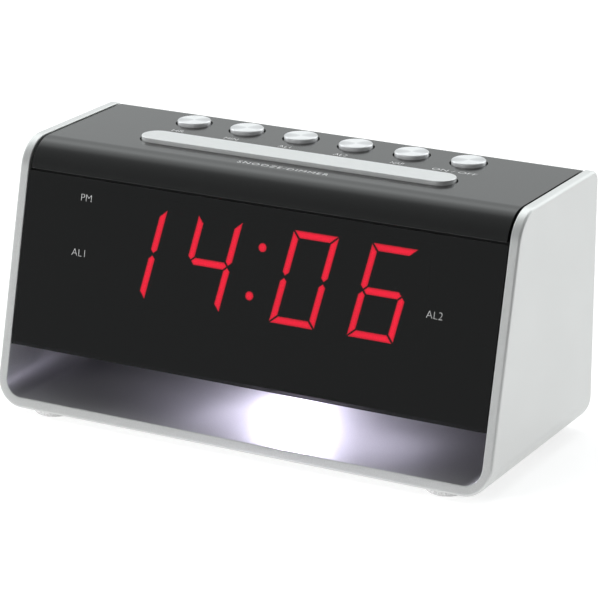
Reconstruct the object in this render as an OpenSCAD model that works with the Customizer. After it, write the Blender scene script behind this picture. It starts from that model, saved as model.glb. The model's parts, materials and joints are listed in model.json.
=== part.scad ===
// Clock radio: a silver U-shaped frame holds a black case with a leaning display window, a top cover with
// six round keys and a snooze bar, and an open recess under the window that a night light shines into.
// The origin is on the surface the feet stand on, under the middle. +X is right, -Y is the front, +Z is up.

/* [Cabinet] */
// Overall width
body_w = 190; // [186:1:196]
// Depth of the frame from its front edge to its back edge
body_d = 82; // [82:1:88]
// Height of the frame above the feet
body_h = 90.6; // [90:0.2:94]
// Lean of the front face back from the vertical, in degrees
lean = 13.6; // [13:0.2:14.4]
// Thickness of the frame's walls and floor
frame_t = 3.6; // [3.4:0.1:3.8]
// Outside radius of the frame's two lower corners
corner_r = 10; // [9:0.5:11]
// Radius of the brow, where the top turns down into the front
brow_r = 12; // [10:0.5:13]
// Radius of the rear corners of the side walls
rear_r = 4; // [3:0.5:4.5]
// Thickness of the top cover and the rear cover
cover_t = 2.4; // [2.2:0.1:2.6]
// Thickness of the inner case's walls
case_t = 2; // [1.8:0.1:2.2]
// Gap between the frame's walls and the parts between them
side_gap = 0.6; // [0.3:0.05:0.7]
// Depth that the top cover lies below the frame's rim
cover_sink = 0.3; // [0.1:0.1:0.5]

/* [Window and recess] */
// Lower edge of the window, measured up the leaning front face
window_low = 21.8; // [21:0.2:23]
// Upper edge of the window, measured up the leaning front face
window_high = 82.7; // [82:0.1:83.2]
// Thickness of the window
window_t = 2; // [1.5:0.1:2]
// Depth of the recess, from the frame's front edge
recess_d = 52; // [50:0.5:52]
// Diameter of the night light's lens
lens_d = 9; // [8:0.5:10]

/* [Display] */
// Height of a digit
digit_h = 31.7; // [30.5:0.1:32.5]
// Width of a digit
digit_w = 16.9; // [16:0.1:17.4]
// Width of a lit bar
stroke = 2.4; // [2:0.1:2.6]
// Distance between neighbouring digits of a pair
digit_pitch = 29.2; // [28:0.1:29.4]
// Distance between the digits either side of the colon
colon_pitch = 36.3; // [35.5:0.1:37]
// Distance between the two dots of the colon
colon_rise = 16.7; // [15:0.1:18]
// Lean of the digits to the right, in degrees
slant = 10; // [8:0.5:11]
// Middle of the digits, measured up the leaning front face
display_mid = 60.7; // [60:0.1:60.8]

/* [Keys] */
// Diameter of a round key
key_d = 11.8; // [11:0.1:12.2]
// Distance between neighbouring keys
key_pitch = 21.4; // [21:0.1:21.6]
// Middle of the row of keys, from front to back
key_y = 27.2; // [26.5:0.1:27.5]
// Height that a key stands above the cover
key_rise = 1.3; // [1.2:0.1:2]
// Length of the snooze bar
bar_l = 119.6; // [116:0.2:122]
// Width of the snooze bar
bar_w = 10.9; // [10.4:0.1:11]
// Middle of the snooze bar, from front to back
bar_y = 3.6; // [3.2:0.1:4]
// Height that the snooze bar stands above the cover
bar_rise = 1.4; // [1.2:0.1:2]
// Gap around the keys and the bar
key_gap = 0.45; // [0.3:0.05:0.5]

/* [Base and back] */
// Diameter of a foot
foot_d = 14.4; // [13:0.2:15]
// Height of a foot below the frame
foot_h = 2.2; // [2:0.1:2.6]
// Diameter of the speaker
speaker_d = 57; // [50:1:57]
// Bore of the low-voltage inlet
inlet_bore_d = 6.3; // [6:0.1:6.5]

/* [Hidden] */
$fn = 64;

// Overlap given to cutting shapes so that they pass right through
over = 1;

// Frame
front_y = -body_d / 2;
back_y = body_d / 2;
top_z = foot_h + body_h;
floor_z = foot_h + frame_t;
inner_x = body_w / 2 - frame_t;
fill_x = inner_x - side_gap;

// Inner case: its outer face lies a little behind the window and the covers
case_inset = cover_sink + cover_t + 0.15;
case_low = floor_z + 0.15;
case_corner_r = corner_r - frame_t;
ceiling_z = foot_h + window_low * cos(lean) + 0.2;
recess_y = front_y + recess_d;
rear_inner_y = back_y - 0.5 - cover_t;
seam_z = foot_h + (window_high + 0.5) * cos(lean);
rear_lip_z = top_z - 8;

// Keys, from the top down
cover_top = top_z - cover_sink;
cover_under = cover_top - cover_t;
key_count = 6;
flange_t = 1;
flange_rim = 1.3;
flange_top = cover_under - 0.3;
stem_d = 4;
stem_low = flange_top - flange_t - 2.2;
plunger_d = 3.4;
plunger_l = 2.4;
switch_size = 6;
switch_h = 3.4;
switch_top = stem_low - 1.2;
board_t = 1.6;
key_board_top = switch_top - switch_h;
key_board_x = 66;
key_board_y = [-5.5, 33];
bar_stem_x = 40;
key_boss_y = 14.2;
key_boss_x = [-62, -21.4, 21.4, 62];

// Display, in the leaning frame of the front face
window_sink = 0.15;
block_face = -2.4;
block_t = 10.6;
block_x = 64;
block_low = display_mid - 19.8;
block_high = display_mid + 18.4;
display_x = 0.8;
bar_gap = 0.4;
display_board_x = 74;
display_post = [70, 13.5];
bezel_back = -(case_inset + case_t);

// Main board
main_board_low = ceiling_z + case_t + 5;
main_board_top = main_board_low + board_t;
main_board_x = [-84, 17];
main_board_y = [-6, 34];
main_posts = [[-80, -2], [13, -2], [-80, 30], [13, 30]];
post_d = 6;
pilot_d = 2.2;

// Night light
light_y = recess_y - 9;
light_board_low = ceiling_z + case_t + 3.3;
light_post_x = 7.3;

// Inlet and aerial
inlet = [9, 14, 11];
inlet_x = -70;
grommet_x = -48;
grommet_z = 60;
grommet_r = 3.2;

// Speaker
speaker_x = 50;
speaker_z = 52;
speaker_r = speaker_d / 2;
gasket_t = 2;
flange_y = rear_inner_y - gasket_t;
magnet_r = 16;
speaker_fix = [45:90:315];

// Battery compartment
bay = [53, 22.6, 12.4];
bay_mid = [-37, 25];
bay_wall = 1.4;
cell_r = 5.25;
cell_l = 44.5;
cell_y = 5.4;
cell_z = case_low + 0.3 + cell_r;
door_gap = 0.3;
door_t = 2;

// Wiring
ribbon_t = 0.8;
wire_r = 0.6;
socket_h = 5;

// Fastenings
rear_fix = [[-84, 17], [84, 17], [-84, 76], [84, 76]];
frame_fix = [[-83, 15], [0, 24], [36, 24], [83, 15]];
feet = [76, 32];

function unit(v) = v / norm(v);

// Where a round of radius r meets the two sides of a corner, the round's centre, and r
function corner_cut(before, at, after, r) =
    let (u = unit(before - at), v = unit(after - at), half = acos(u * v) / 2, run = r / tan(half))
    [r > 0 ? [at + u * run, at + v * run] : [at], at + unit(u + v) * r / sin(half), r];

// Y of the front face at height z
function face_y(z) = front_y + (z - foot_h) * tan(lean);

// Y and Z of a point given up the front face and out of it
function from_face(up, out) = [
    front_y + up * sin(lean) - out * cos(lean),
    foot_h + up * cos(lean) + out * sin(lean)
];

// From the middle of a strip to its edge, for a strip of half-width one that turns from one way to the next
function edge_way(before, after) =
    let (mid = unit(before + after)) [-mid.y, mid.x] / (mid * after);

function key_x(i) = (i - (key_count - 1) / 2) * key_pitch;

// Convex outline with its own radius at each corner, corners in anticlockwise order
module rounded(corners, radii) {
    n = len(corners);
    cuts = [
        for (i = [0:n - 1])
            corner_cut(corners[(i + n - 1) % n], corners[i], corners[(i + 1) % n], radii[i])
    ];
    polygon([for (c = cuts) each c[0]]);
    for (c = cuts)
        if (c[2] > 0)
            translate(c[1]) circle(r = c[2]);
}

// An outline drawn in (y, z), extruded along X and centred
module across(width) {
    translate([-width / 2, 0, 0]) rotate([90, 0, 90]) linear_extrude(width) children();
}

// An outline drawn in (x, z), extruded along Y from y0 to y1
module along(y0, y1) {
    translate([0, y1, 0]) rotate([90, 0, 0]) linear_extrude(y1 - y0) children();
}

// Children stand in the leaning frame of the front face: X across, Y up the face, Z out of it
module on_front() {
    translate([0, front_y, foot_h]) rotate([90 - lean, 0, 0]) children();
}

// A cylinder along Y from y0 to y1
module rod_y(x, z, y0, y1, r) {
    translate([x, y1, z]) rotate([90, 0, 0]) cylinder(r = r, h = y1 - y0);
}

// A box from its low corner to its high corner
module box(low, high) {
    translate(low) cube(high - low);
}

// The side view of the whole body, moved inwards by inset
module side_outline(inset) {
    low = foot_h + inset;
    high = top_z - inset;
    lead = inset / cos(lean);
    rounded(
        [[face_y(low) + lead, low], [back_y - inset, low], [back_y - inset, high], [face_y(high) + lead, high]],
        [0, max(rear_r - inset, 0.5), max(rear_r - inset, 0.5), brow_r - inset]
    );
}

// The front view of the space inside the frame, moved inwards by inset, open at the top
module channel_outline(inset) {
    x = inner_x - inset;
    low = floor_z + inset;
    r = corner_r - frame_t - inset / 2;
    rounded([[-x, low], [x, low], [x, top_z + over], [-x, top_z + over]], [r, r, 0, 0]);
}

module stadium(length, width) {
    square([length - width, width], center = true);
    for (side = [-1, 1])
        translate([side * (length - width) / 2, 0]) circle(d = width);
}

// A pan-head screw with its head at the origin and its shank towards -Z
module screw(shank_r, length, head_r, head_h) {
    difference() {
        union() {
            translate([0, 0, -length]) cylinder(r = shank_r, h = length + head_h / 2);
            cylinder(r1 = head_r, r2 = head_r * 0.8, h = head_h);
        }
        for (turn = [0, 90])
            rotate(turn) translate([-head_r * 0.6, -0.35, head_h * 0.4]) cube([head_r * 1.2, 0.7, head_h]);
    }
}

// ---- Cabinet ----

module u_frame() color("silver") difference() {
    intersection() {
        across(body_w) side_outline(0);
        along(front_y - over, back_y + over) difference() {
            rounded(
                [[-body_w / 2, foot_h], [body_w / 2, foot_h],
                 [body_w / 2, top_z + over], [-body_w / 2, top_z + over]],
                [corner_r, corner_r, 0, 0]
            );
            channel_outline(0);
        }
    }
    for (x = [-feet.x, feet.x], y = [-feet.y, feet.y])
        translate([x, y, foot_h - over]) cylinder(d = foot_d + 0.2, h = over + 0.8);
    for (at = frame_fix) {
        translate([at.x, at.y, foot_h - over]) cylinder(r = 1.6, h = frame_t + 2 * over);
        translate([at.x, at.y, foot_h - over]) cylinder(r = 3, h = over + 1.6);
    }
    translate([bay_mid.x, bay_mid.y, foot_h + frame_t / 2])
        cube([bay.x + 2 * door_gap, bay.y + 2 * door_gap, frame_t + 2 * over], center = true);
}

module case_profile() {
    difference() {
        side_outline(case_inset);
        translate([front_y - body_d, -over]) square([body_d + recess_d, ceiling_z + over]);
        translate([rear_inner_y, -over]) square([body_d, top_z + 2 * over]);
    }
    translate([recess_y, case_low]) square([rear_inner_y - recess_y, ceiling_z - case_low + over]);
}

module case_cavity() {
    lead = (case_inset + case_t) / cos(lean);
    low = ceiling_z + case_t;
    high = top_z + over;
    polygon([
        [face_y(low) + lead, low],
        [recess_y + case_t, low],
        [recess_y + case_t, case_low + case_t],
        [back_y + over, case_low + case_t],
        [back_y + over, high],
        [face_y(high) + lead, high]
    ]);
}

module case_shell() {
    difference() {
        intersection() {
            across(2 * fill_x) case_profile();
            along(front_y - over, back_y + over) channel_outline(side_gap / 3);
        }
        intersection() {
            across(2 * (fill_x - case_t)) case_cavity();
            along(front_y - 2 * over, back_y + 2 * over) channel_outline(case_t + 0.3);
        }
    }
}

module case_bosses() {
    for (at = main_posts)
        translate([at.x, at.y, at.y < recess_y ? ceiling_z + case_t / 2 : case_low + case_t / 2])
            cylinder(
                d = post_d,
                h = main_board_low - (at.y < recess_y ? ceiling_z : case_low) - case_t / 2
            );
    for (at = frame_fix)
        translate([at.x, at.y, case_low + case_t / 2]) cylinder(d = post_d, h = 9);
    for (at = rear_fix) {
        rod_y(at.x, at[1], rear_inner_y - 16, rear_inner_y, post_d / 2);
        side = sign(at.x);
        reach = fill_x - case_t / 2 - abs(at.x);
        translate([at.x + (side < 0 ? -reach : 0), rear_inner_y - 16, at[1] - 1]) cube([reach, 16, 2]);
    }
    for (side = [-1, 1])
        translate([side * light_post_x, light_y, ceiling_z + case_t / 2])
            cylinder(d = 3, h = light_board_low - ceiling_z - case_t / 2);
    on_front()
        for (x = [-display_post.x, display_post.x], up = [-display_post.y, display_post.y])
            translate([x, display_mid + up, block_face - block_t])
                cylinder(d = post_d, h = bezel_back + case_t / 2 - block_face + block_t);
}

module battery_bay(grow, height) {
    translate([bay_mid.x - bay.x / 2 - grow, bay_mid.y - bay.y / 2 - grow, case_low])
        cube([bay.x + 2 * grow, bay.y + 2 * grow, height]);
}

module inner_case() color("#262628") difference() {
    union() {
        case_shell();
        case_bosses();
        battery_bay(bay_wall, bay.z + bay_wall);
    }
    translate([0, 0, -over]) battery_bay(0, bay.z + over);
    on_front()
        translate([-block_x - 0.2, block_low - 0.2, block_face - block_t])
            cube([2 * block_x + 0.4, block_high - block_low + 0.4, block_t + 3]);
    translate([0, light_y, ceiling_z - over]) cylinder(d = lens_d + 0.1, h = case_t + 2 * over);
    for (at = main_posts)
        translate([at.x, at.y, main_board_low - 8]) cylinder(d = pilot_d, h = 9);
    for (at = frame_fix)
        translate([at.x, at.y, case_low - over]) cylinder(d = pilot_d, h = 10);
    for (at = rear_fix)
        rod_y(at.x, at[1], rear_inner_y - 12, rear_inner_y + over, pilot_d / 2);
    on_front()
        for (x = [-display_post.x, display_post.x], up = [-display_post.y, display_post.y])
            translate([x, display_mid + up, block_face - block_t - over]) cylinder(d = pilot_d, h = 7);
}

module cover_profile() {
    intersection() {
        difference() {
            side_outline(cover_sink);
            side_outline(cover_sink + cover_t);
        }
        polygon([
            [front_y - over, seam_z],
            [0, seam_z],
            [0, rear_lip_z],
            [back_y + over, rear_lip_z],
            [back_y + over, top_z + over],
            [front_y - over, top_z + over]
        ]);
    }
}

module top_cover() color("#303033") difference() {
    union() {
        across(2 * fill_x) cover_profile();
        for (x = key_boss_x)
            translate([x, key_boss_y, key_board_top])
                cylinder(d = 5, h = cover_under - key_board_top + cover_t / 2);
        for (side = [-1, 1], y = [-2, 26])
            translate([side * (fill_x - case_t - 1.1) - 0.8, y, cover_under - 6])
                cube([1.6, 8, 6 + cover_t / 2]);
    }
    for (i = [0:key_count - 1])
        translate([key_x(i), key_y, cover_under - over])
            cylinder(d = key_d + 2 * key_gap, h = cover_t + 2 * over);
    translate([0, bar_y, cover_under - over])
        linear_extrude(cover_t + 2 * over) stadium(bar_l + 2 * key_gap, bar_w + 2 * key_gap);
    for (x = key_boss_x)
        translate([x, key_boss_y, key_board_top - over]) cylinder(d = pilot_d, h = 6);
}

module grille_holes() {
    pitch = 4.4;
    for (row = [-5:5], col = [-6:6]) {
        x = (col + (row % 2 == 0 ? 0 : 0.5)) * pitch;
        z = row * pitch * sin(60);
        if (norm([x, z]) < 22)
            rod_y(speaker_x + x, speaker_z + z, rear_inner_y - over, back_y, 1.3);
    }
}

module rear_cover() color("#2a2a2c") difference() {
    x = inner_x - side_gap;
    along(rear_inner_y, rear_inner_y + cover_t)
        rounded(
            [[-x, case_low], [x, case_low], [x, rear_lip_z - 0.3], [-x, rear_lip_z - 0.3]],
            [case_corner_r, case_corner_r, 0.6, 0.6]
        );
    grille_holes();
    for (at = rear_fix) {
        rod_y(at.x, at[1], rear_inner_y - over, back_y, 1.6);
        rod_y(at.x, at[1], rear_inner_y + cover_t - 1.2, back_y, 3.2);
    }
    box([inlet_x - inlet.x / 2 - 0.3, rear_inner_y - over, main_board_top - 0.1],
        [inlet_x + inlet.x / 2 + 0.3, back_y, main_board_top + inlet.z + 0.3]);
    rod_y(grommet_x, grommet_z, rear_inner_y - over, back_y, grommet_r);
    for (i = [0:7])
        box([-66 + i * 7, rear_inner_y - over, 68], [-63.6 + i * 7, back_y, 80]);
    for (angle = speaker_fix)
        rod_y(speaker_x + (speaker_r - 1.8) * cos(angle), speaker_z + (speaker_r - 1.8) * sin(angle),
              rear_inner_y - over, rear_inner_y + 1.4, 0.8);
}

module display_window() color("#1c1c20", 0.8) on_front() {
    x = inner_x - 0.35;
    translate([-x, window_low, -window_sink - window_t]) cube([2 * x, window_high - window_low, window_t]);
}

module foot(x, y) color("gray") translate([x, y, 0]) rotate_extrude() {
    r = foot_d / 2;
    square([r - 1, foot_h + 0.75]);
    translate([0, 1]) square([r, foot_h - 0.25]);
    translate([r - 1, 1]) circle(r = 1);
}

// ---- Keys ----

module key(i) color("silver") translate([key_x(i), key_y, 0]) rotate_extrude() {
    r = key_d / 2;
    high = cover_top + key_rise;
    polygon([
        [0, stem_low], [stem_d / 2, stem_low], [stem_d / 2, flange_top - flange_t],
        [r + flange_rim, flange_top - flange_t], [r + flange_rim, flange_top],
        [r, flange_top], [r, high - 0.6], [r - 0.7, high], [0, high]
    ]);
}

module plunger(x, y) {
    translate([x, y, stem_low - plunger_l]) cylinder(d = plunger_d, h = plunger_l);
}

module key_plunger(i) color("dimgray") plunger(key_x(i), key_y);

module snooze_bar() color("silver") translate([0, bar_y, 0]) {
    high = cover_top + bar_rise;
    translate([0, 0, flange_top - flange_t])
        linear_extrude(flange_t) stadium(bar_l + 2 * flange_rim, bar_w + 2 * flange_rim);
    translate([0, 0, flange_top - over]) linear_extrude(high - flange_top + over) stadium(bar_l, bar_w);
    for (side = [-1, 1])
        translate([side * bar_stem_x, 0, stem_low]) cylinder(d = stem_d, h = flange_top - stem_low - 0.5);
}

module snooze_plungers() color("dimgray")
    for (side = [-1, 1])
        plunger(side * bar_stem_x, bar_y);

module switch_body(x, y) difference() {
    translate([x - switch_size / 2, y - switch_size / 2, key_board_top])
        cube([switch_size, switch_size, switch_h]);
    translate([x, y, stem_low - plunger_l - 0.9]) cylinder(d = plunger_d + 0.2, h = plunger_l + 2);
}

module switch_bodies() color("#b8b8b8") {
    for (i = [0:key_count - 1])
        switch_body(key_x(i), key_y);
    for (side = [-1, 1])
        switch_body(side * bar_stem_x, bar_y);
}

module key_board() color("#1f5c38") difference() {
    box(
        [-key_board_x, key_board_y[0], key_board_top - board_t],
        [key_board_x, key_board_y[1], key_board_top]
    );
    for (x = key_boss_x)
        translate([x, key_boss_y, key_board_top - board_t - over])
            cylinder(r = 1.4, h = board_t + 2 * over);
}

// ---- Display ----

// A digit's outline, mirrored by flip and leaning right with its height above the middle
function lean_over(p) = [p.x + p.y * tan(slant), p.y];
function bar_points(points, flip) = [for (p = points) lean_over([p.x * flip.x, p.y * flip.y])];

// The seven bars of a digit, in the order top, upper right, lower right, bottom, lower left, upper left,
// middle: the outer corners are mitred and the ends at the middle are pointed
function digit_bars(grow) =
    let (
        x = digit_w / 2 + grow, y = digit_h / 2 + grow,
        s = stroke + 2 * grow, m = s / 2, g = bar_gap - grow,
        top = [[-x + g, y], [-x + s + g, y - s], [x - s - g, y - s], [x - g, y]],
        upper = [[x, y - g], [x - s, y - s - g], [x - s, m + g], [x - m, g], [x, m + g]],
        middle = [[-x + m + g, 0], [-x + s + g, -m], [x - s - g, -m], [x - m - g, 0], [x - s - g, m],
                  [-x + s + g, m]]
    )
    [
        bar_points(top, [1, 1]), bar_points(upper, [1, 1]), bar_points(upper, [1, -1]),
        bar_points(top, [1, -1]), bar_points(upper, [-1, -1]), bar_points(upper, [-1, 1]),
        bar_points(middle, [1, 1])
    ];

digit_x = [
    for (x = [-colon_pitch / 2 - digit_pitch, -colon_pitch / 2, colon_pitch / 2, colon_pitch / 2 + digit_pitch])
        x + display_x
];
// Bars lit in each place, so that the display reads 14:06
lit = [[1, 2], [1, 2, 5, 6], [0, 1, 2, 3, 4, 5], [0, 2, 3, 4, 5, 6]];
unlit = [for (on = lit) [for (bar = [0:6]) if (len(search(bar, on)) == 0) bar]];
dot_r = 1.5;
marks = [[-60.5, 16], [-60.5, -2.8], [60.5, -2.8]];
segment_t = 1.6;

// Bars and dots standing in the display's face, grown by grow
module bars(choice, grow) {
    for (place = [0:3], bar = choice[place])
        translate([digit_x[place], 0, 0])
            linear_extrude(segment_t) polygon(digit_bars(grow)[bar]);
}

module colon_dots(grow) {
    for (side = [-1, 1])
        translate([display_x + lean_over([0, side * colon_rise / 2]).x, side * colon_rise / 2, 0])
            cylinder(r = dot_r + grow, h = segment_t);
}

module mark_dots(grow) {
    for (at = marks)
        translate([at.x, at.y, 0]) cylinder(r = dot_r - 0.4 + grow, h = segment_t);
}

module on_display() {
    on_front() translate([0, display_mid, block_face - segment_t]) children();
}

module lit_segments() color("red") on_display() {
    bars(lit, 0);
    colon_dots(0);
}

module unlit_segments() color("#401018") on_display() {
    bars(unlit, 0);
    mark_dots(0);
}

module display_block() color("#151517") difference() {
    on_front()
        translate([-block_x, block_low, block_face - block_t])
            cube([2 * block_x, block_high - block_low, block_t]);
    for (z = [0, 0.05])
        on_display() translate([0, 0, z]) {
            bars([for (i = [0:3]) [0:6]], 0.05);
            colon_dots(0.05);
            mark_dots(0.05);
        }
}

module display_board() color("#1f5c38") on_front() difference() {
    translate([-display_board_x, display_mid - 19, block_face - block_t - board_t])
        cube([2 * display_board_x, 38, board_t]);
    for (x = [-display_post.x, display_post.x], up = [-display_post.y, display_post.y])
        translate([x, display_mid + up, block_face - block_t - board_t - over])
            cylinder(r = 1.4, h = board_t + 2 * over);
}

// ---- Night light ----

module night_light_lens() color("white", 0.7) translate([0, light_y, ceiling_z - 0.6]) rotate_extrude() {
    square([lens_d / 2, case_t + 0.6]);
    translate([0, case_t + 0.6]) square([lens_d / 2 + 1, 0.8]);
}

module night_light_led() color("white") {
    low = light_board_low - 2;
    box([-1.8, light_y - 1.4, low + 0.3], [1.8, light_y + 1.4, light_board_low]);
    translate([0, light_y, low]) cylinder(r1 = 1, r2 = 1.25, h = 0.6);
}

module night_light_board() color("#1f5c38")
    box([-9.4, light_y - 4, light_board_low], [9.4, light_y + 4, light_board_low + 1.2]);

// ---- Main board ----

module main_board() color("#1f5c38") difference() {
    box(
        [main_board_x[0], main_board_y[0], main_board_low],
        [main_board_x[1], main_board_y[1], main_board_top]
    );
    for (at = main_posts)
        translate([at.x, at.y, main_board_low - over]) cylinder(r = 1.4, h = board_t + 2 * over);
}

module on_board(x, y) {
    translate([x, y, main_board_top]) children();
}

module tuner_can() color("#c8c8cc") on_board(-52, 24) translate([-11, -8, 0]) cube([22, 16, 7]);

module clock_chip() color("#18181a") on_board(-18, 12) {
    translate([-18, -6.5, 0.6]) cube([36, 13, 3.6]);
    for (i = [0:13], side = [-1, 1])
        translate([-16.7 + i * 2.54, side * 7 - 0.5, 0]) cube([0.6, 1, 2]);
}

module capacitors() color("#22304a") {
    on_board(-60, 6) cylinder(d = 8, h = 12);
    on_board(-70, -1) cylinder(d = 5, h = 9);
    on_board(-74, 8) cylinder(d = 6.3, h = 11);
    on_board(8, 14) cylinder(d = 5, h = 11);
    on_board(8, 22) cylinder(d = 5, h = 11);
}

module regulator() color("#1a1a1c") on_board(-20, 30.9) {
    translate([-5, -2.2, 3]) cube([10, 4.4, 9]);
    for (x = [-2.54, 0, 2.54])
        translate([x - 0.4, -0.4, 0]) cube([0.8, 0.8, 3]);
}

module heat_sink() color("#9a9ca0") on_board(-20, 26.6) {
    translate([-11, 0.5, 1]) cube([22, 1.5, 16]);
    for (x = [-11:3.4:10])
        translate([x, -5.5, 1]) cube([1.4, 6, 16]);
}

module board_sockets() color("ivory") {
    on_board(-40, 0) translate([-9, -2.5, 0]) cube([18, 5, socket_h]);
    on_board(-4, 0) translate([-6, -2.5, 0]) cube([12, 5, socket_h]);
    on_board(4, 30) translate([-3, -2.5, 0]) cube([6, 5, socket_h]);
}

module dc_inlet() color("#161618") {
    front = rear_inner_y + cover_t - 0.3;
    difference() {
        box([inlet_x - inlet.x / 2, front - inlet.y, main_board_top],
            [inlet_x + inlet.x / 2, front, main_board_top + inlet.z]);
        rod_y(inlet_x, main_board_top + inlet.z / 2, front - 10, front + over, inlet_bore_d / 2);
    }
    rod_y(inlet_x, main_board_top + inlet.z / 2, front - 11, front - 1, 1);
}

module aerial_grommet() color("#202022")
    translate([grommet_x, rear_inner_y - 1, grommet_z]) rotate([-90, 0, 0]) rotate_extrude()
        difference() {
            translate([1, 0]) square([grommet_r + 0.2, cover_t + 1.4]);
            translate([grommet_r - 0.05, 1]) square([3, cover_t]);
        }

// ---- Speaker ----

module on_speaker() {
    translate([speaker_x, flange_y, speaker_z]) rotate([-90, 0, 0]) children();
}

module speaker_holes(low, high)
    for (angle = speaker_fix)
        rotate(-angle) translate([speaker_r - 1.8, 0, low]) cylinder(r = 1, h = high - low);

module speaker_basket() color("#8f9296") on_speaker() difference() {
    rotate_extrude()
        polygon([
            [7.6, -14], [17, -14], [24.4, -1.2], [speaker_r, -1.2], [speaker_r, 0], [24, 0],
            [23.4, -2], [16.4, -13], [7.6, -13]
        ]);
    for (i = [0:5])
        rotate(i * 60) translate([20.6, 0, -7.4]) cube([11, 9, 7.5], center = true);
    speaker_holes(-3, over);
}

module speaker_magnet() color("#3a3a3c") on_speaker() rotate_extrude()
    translate([8, -22]) square([magnet_r - 8, 8]);

module speaker_yoke() color("#a4a6aa") on_speaker() rotate_extrude() {
    translate([0, -24]) square([magnet_r - 1, 2]);
    translate([0, -22.5]) square([6, 9]);
}

module speaker_cone() color("#2b2724") on_speaker() rotate_extrude()
    polygon([
        [0, -6.9], [3.3, -7.5], [5.6, -8.6], [6.6, -9.3], [6.6, -18], [7.2, -18], [7.2, -9.9],
        [21.3, -1.6], [21.3, -0.9], [7.3, -9], [6, -7.9], [3.5, -6.8], [0, -6.2]
    ]);

module speaker_surround() color("#1c1a1a") on_speaker() rotate_extrude() {
    difference() {
        translate([22.5, 0]) circle(r = 1.1);
        translate([22.5, 0]) circle(r = 0.75);
        translate([20, -3]) square([6, 3]);
    }
    translate([23.3, 0]) square([1.8, 0.35]);
}

module speaker_gasket() color("#38342f") on_speaker() difference() {
    rotate_extrude() translate([25.2, 0]) square([speaker_r - 25.2, gasket_t]);
    speaker_holes(-over, gasket_t + over);
}

// ---- Battery compartment ----

module battery_door() color("#b9bbbd") {
    low = [bay_mid.x - bay.x / 2, bay_mid.y - bay.y / 2, foot_h];
    difference() {
        union() {
            translate(low) cube([bay.x, bay.y, door_t]);
            for (y = [3, bay.y / 2 - 0.6, bay.y - 4.2])
                translate(low + [3, y, door_t / 2]) cube([bay.x - 6, 1.2, door_t / 2 + 1.2]);
        }
        for (i = [0:4])
            translate(low + [bay.x - 6 + i * 1.1, bay.y / 2 - 5, -over]) cube([0.5, 10, over + 0.5]);
    }
}

module backup_cells() color("#6e7276")
    for (side = [-1, 1])
        translate([bay_mid.x - cell_l / 2 + 0.8, bay_mid.y + side * cell_y, cell_z]) rotate([0, 90, 0]) {
            cylinder(r = cell_r, h = cell_l - 0.8);
            cylinder(r = 1.9, h = cell_l);
        }

module battery_springs() color("#c9c9cd")
    for (side = [-1, 1])
        translate([bay_mid.x - bay.x / 2, bay_mid.y + side * cell_y, cell_z]) rotate([0, 90, 0])
            for (i = [0:5])
                translate([0, 0, 0.45 + i * 0.78])
                    rotate_extrude() translate([4.2 - i * 0.3, 0]) circle(r = 0.42);

module battery_plates() color("#c9c9cd")
    for (side = [-1, 1])
        translate([bay_mid.x + bay.x / 2 - 0.5, bay_mid.y + side * cell_y - 4, case_low + 1])
            cube([0.5, 8, 9]);

// ---- Wiring ----

// A flat ribbon that follows a path of (y, z) points, centred on x
module ribbon(x, width, path) {
    n = len(path) - 1;
    way = [for (i = [0:n - 1]) unit(path[i + 1] - path[i])];
    side = [for (i = [0:n]) edge_way(way[max(i - 1, 0)], way[min(i, n - 1)]) * ribbon_t / 2];
    translate([x, 0, 0]) across(width)
        polygon(concat(
            [for (i = [0:n]) path[i] + side[i]],
            [for (i = [n:-1:0]) path[i] - side[i]]
        ));
}

// A round wire through a list of points
module wire(points) {
    for (i = [0:len(points) - 2]) {
        d = points[i + 1] - points[i];
        translate(points[i])
            rotate([0, acos(d.z / norm(d)), atan2(d.y, d.x)]) cylinder(r = wire_r, h = norm(d));
    }
    for (i = [1:len(points) - 2])
        translate(points[i]) sphere(r = wire_r + 0.05);
}

module display_ribbon() color("#a8a49a") {
    back = block_face - block_t - board_t;
    up = display_mid - 14;
    ribbon(-40, 14, [from_face(up, back), from_face(up, back - 4), [0, main_board_top + 10],
                     [0, main_board_top + socket_h]]);
}

module key_ribbon() color("#a8a49a")
    ribbon(-4, 9, [[2, key_board_top - board_t], [2, key_board_top - 6], [4, key_board_top - 24],
                   [0, main_board_top + 10], [0, main_board_top + socket_h]]);

module speaker_wires() color("#a02020")
    for (side = [-1, 1]) {
        start = [4 + side * 1.5, 30, main_board_top + socket_h];
        wire([
            start,
            start + [0, 0, 8 - side * 2],
            [18, 31, speaker_z - 2 - side * 3],
            [speaker_x - 24.6, flange_y - 3, speaker_z - side * 4]
        ]);
    }

// ---- Fastenings ----

module frame_screws() color("#8c8e92")
    for (at = frame_fix)
        translate([at.x, at.y, foot_h + 1.6]) rotate([180, 0, 0]) screw(1.05, 10, 2.7, 1.4);

module rear_screws() color("#3a3a3c")
    for (at = rear_fix)
        translate([at.x, rear_inner_y + cover_t - 1.2, at[1]])
            rotate([-90, 0, 0]) screw(1.05, 11, 2.9, 1.1);

module board_screws() color("#c0b070") {
    for (at = main_posts)
        translate([at.x, at.y, main_board_top]) screw(1.05, 7, 2.4, 1.3);
    for (x = key_boss_x)
        translate([x, key_boss_y, key_board_top - board_t]) rotate([180, 0, 0]) screw(1.05, 6, 2.2, 1.2);
    on_front()
        for (x = [-display_post.x, display_post.x], up = [-display_post.y, display_post.y])
            translate([x, display_mid + up, block_face - block_t - board_t]) rotate([180, 0, 0])
                screw(1.05, 6, 2.4, 1.3);
}

module speaker_screws() color("#8c8e92") on_speaker()
    for (angle = speaker_fix)
        rotate(-angle) translate([speaker_r - 1.8, 0, -1.25]) rotate([180, 0, 0]) screw(0.78, 4.2, 1.5, 0.9);

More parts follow.
